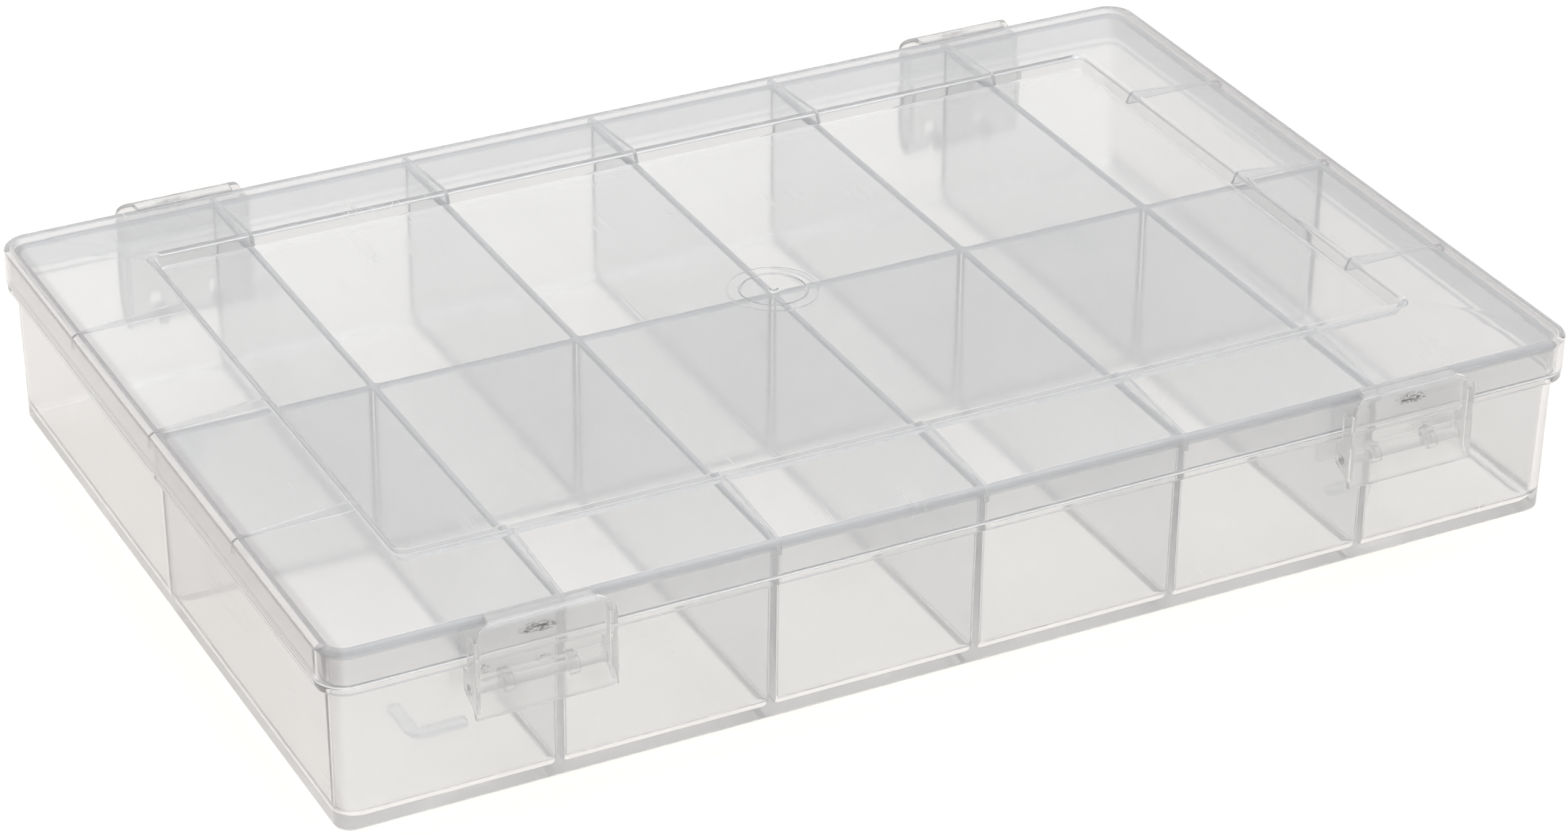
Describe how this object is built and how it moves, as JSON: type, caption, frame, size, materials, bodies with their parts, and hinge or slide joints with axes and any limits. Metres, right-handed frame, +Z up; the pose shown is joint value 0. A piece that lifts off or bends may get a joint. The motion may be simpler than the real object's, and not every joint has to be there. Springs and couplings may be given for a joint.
{
  "type": "fishing tackle box",
  "caption": "Flat clear plastic tackle box: a divided tray with fixed compartments, a ridged lid on rear hinge clips, and front latches.",
  "frame": {"origin": "on the surface the box stands on, under the centre of its outline", "axes": "+X along the box, +Y towards the hinge side, +Z up"},
  "size_m": [0.33, 0.23, 0.0538],
  "materials": {
    "tray_plastic": "clear moulded polypropylene, faintly warm, glossy outside with a slight haze",
    "divider_plastic": "clear moulded polypropylene, slightly hazy",
    "lid_plastic": "clear moulded polypropylene, glossy",
    "clip_plastic": "translucent natural plastic, satin, with light scuffs"
  },
  "bodies": {
    "tray": {"tray_shell": "tray_plastic", "cross_divider_1": "divider_plastic", "cross_divider_2": "divider_plastic", "cross_divider_3": "divider_plastic", "cross_divider_4": "divider_plastic", "cross_divider_5": "divider_plastic", "long_divider_1": "divider_plastic", "long_divider_2": "divider_plastic", "long_divider_3": "divider_plastic", "long_divider_4": "divider_plastic", "long_divider_5": "divider_plastic", "long_divider_6": "divider_plastic"},
    "lid": {"lid": "lid_plastic", "hinge_clip_left": "clip_plastic", "hinge_clip_right": "clip_plastic"},
    "latch_left": {"latch_left": "clip_plastic"},
    "latch_right": {"latch_right": "clip_plastic"}
  },
  "joints": [
    {"name": "lid_hinge", "type": "hinge", "parent": "tray", "child": "lid", "pos_m": [0, 0.11035, 0.0201], "axis": [-1, 0, 0], "range_deg": [0, 115]},
    {"name": "latch_left_pivot", "type": "hinge", "parent": "tray", "child": "latch_left", "pos_m": [-0.1143, -0.11, 0.0334], "axis": [1, 0, 0], "range_deg": [0, 55]},
    {"name": "latch_right_pivot", "type": "hinge", "parent": "tray", "child": "latch_right", "pos_m": [0.1143, -0.11, 0.0334], "axis": [1, 0, 0], "range_deg": [0, 55]}
  ]
}
